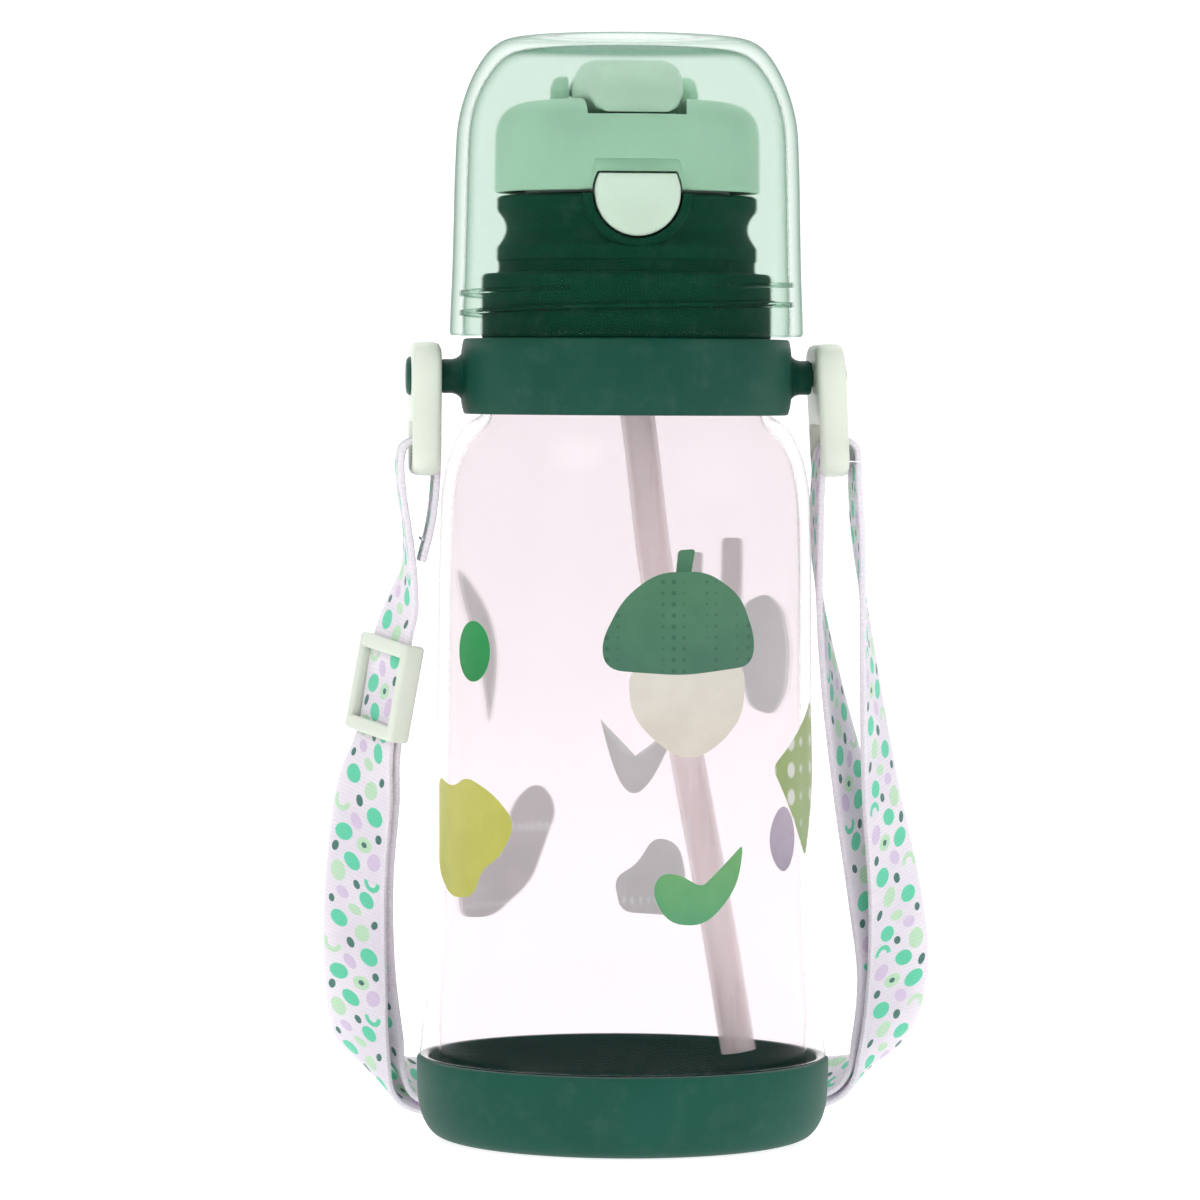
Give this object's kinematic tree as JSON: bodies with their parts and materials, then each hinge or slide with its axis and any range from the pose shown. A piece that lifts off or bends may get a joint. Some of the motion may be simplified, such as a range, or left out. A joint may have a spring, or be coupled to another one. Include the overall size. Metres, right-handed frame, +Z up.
{
  "type": "kids water bottle",
  "caption": "Straw bottle with a screw-on dust cover, a flip cap with a release button, a spout flap, a removable base boot and an adjustable carrying strap.",
  "frame": {"origin": "middle of the underside of the base boot, on the surface the bottle stands on", "axes": "+Z up along the bottle's axis, -Y towards the release button at the front, X through the two strap lugs"},
  "size_m": [0.1207, 0.0972, 0.2136],
  "materials": {
    "dark_green_soft": "soft-touch matte",
    "clear_pink": "clear, lightly tinted plastic with printed motifs",
    "dark_green": "fine satin moulding",
    "silicone": "translucent silicone",
    "straw": "translucent, smooth",
    "light_green": "satin moulding",
    "steel": "bright wire",
    "mint": "satin moulding",
    "cream": "satin moulding",
    "clear_green": "clear green plastic",
    "sage": "satin moulding",
    "webbing": "printed polyester webbing"
  },
  "bodies": {
    "bottle": {"base_boot": "dark_green_soft", "bottle_body": "clear_pink"},
    "lid": {"lid_body": "dark_green", "carry_collar": "dark_green", "lid_seal": "silicone", "straw_connector": "silicone", "straw": "straw", "vent_valve": "silicone", "cap_hinge_pin": "steel", "cap_spring": "steel", "button_spring": "steel", "loop_rivet_left": "dark_green", "loop_rivet_right": "dark_green"},
    "flip_cap": {"flip_cap": "light_green", "cap_seal": "silicone", "mouthpiece": "silicone", "flap_hinge_pin": "steel"},
    "spout_flap": {"spout_flap": "mint"},
    "release_button": {"release_button": "cream"},
    "dust_cover": {"dust_cover": "clear_green"},
    "loop_left": {"strap_loop_left": "sage"},
    "loop_right": {"strap_loop_right": "sage"},
    "strap": {"strap_outer_run": "webbing", "strap_return_run": "webbing", "strap_adjuster": "sage"}
  },
  "joints": [
    {"name": "lid_lift", "type": "slide", "parent": "bottle", "child": "lid", "axis": [0, 0, 1], "range_m": [0, 0.14]},
    {"name": "cover_lift", "type": "slide", "parent": "lid", "child": "dust_cover", "axis": [0, 0, 1], "range_m": [0, 0.18]},
    {"name": "cap_hinge", "type": "hinge", "parent": "lid", "child": "flip_cap", "pos_m": [0, 0.026, 0.1848], "axis": [-1, 0, 0], "range_deg": [0, 110]},
    {"name": "flap_hinge", "type": "hinge", "parent": "flip_cap", "child": "spout_flap", "pos_m": [0, 0.0085, 0.2032], "axis": [-1, 0, 0], "range_deg": [0, 85]},
    {"name": "button_press", "type": "slide", "parent": "lid", "child": "release_button", "axis": [0, 1, 0], "range_m": [0, 0.0016], "stiffness_N_per_m": 300},
    {"name": "strap_swing", "type": "hinge", "parent": "lid", "child": "strap", "pos_m": [0, 0, 0.14775], "axis": [1, 0, 0], "range_deg": [0, 180]},
    {"name": "loop_left_swing", "type": "hinge", "parent": "lid", "child": "loop_left", "pos_m": [0, 0, 0.14775], "axis": [1, 0, 0], "range_deg": [0, 180]},
    {"name": "loop_right_swing", "type": "hinge", "parent": "lid", "child": "loop_right", "pos_m": [0, 0, 0.14775], "axis": [1, 0, 0], "range_deg": [0, 180]}
  ],
  "couplings": [
    {"joint": "cap_hinge", "follows": "cover_lift", "rad_per_m": 10.665},
    {"joint": "flap_hinge", "follows": "cover_lift", "rad_per_m": 8.24},
    {"joint": "loop_left_swing", "follows": "strap_swing", "ratio": 1},
    {"joint": "loop_right_swing", "follows": "strap_swing", "ratio": 1}
  ]
}
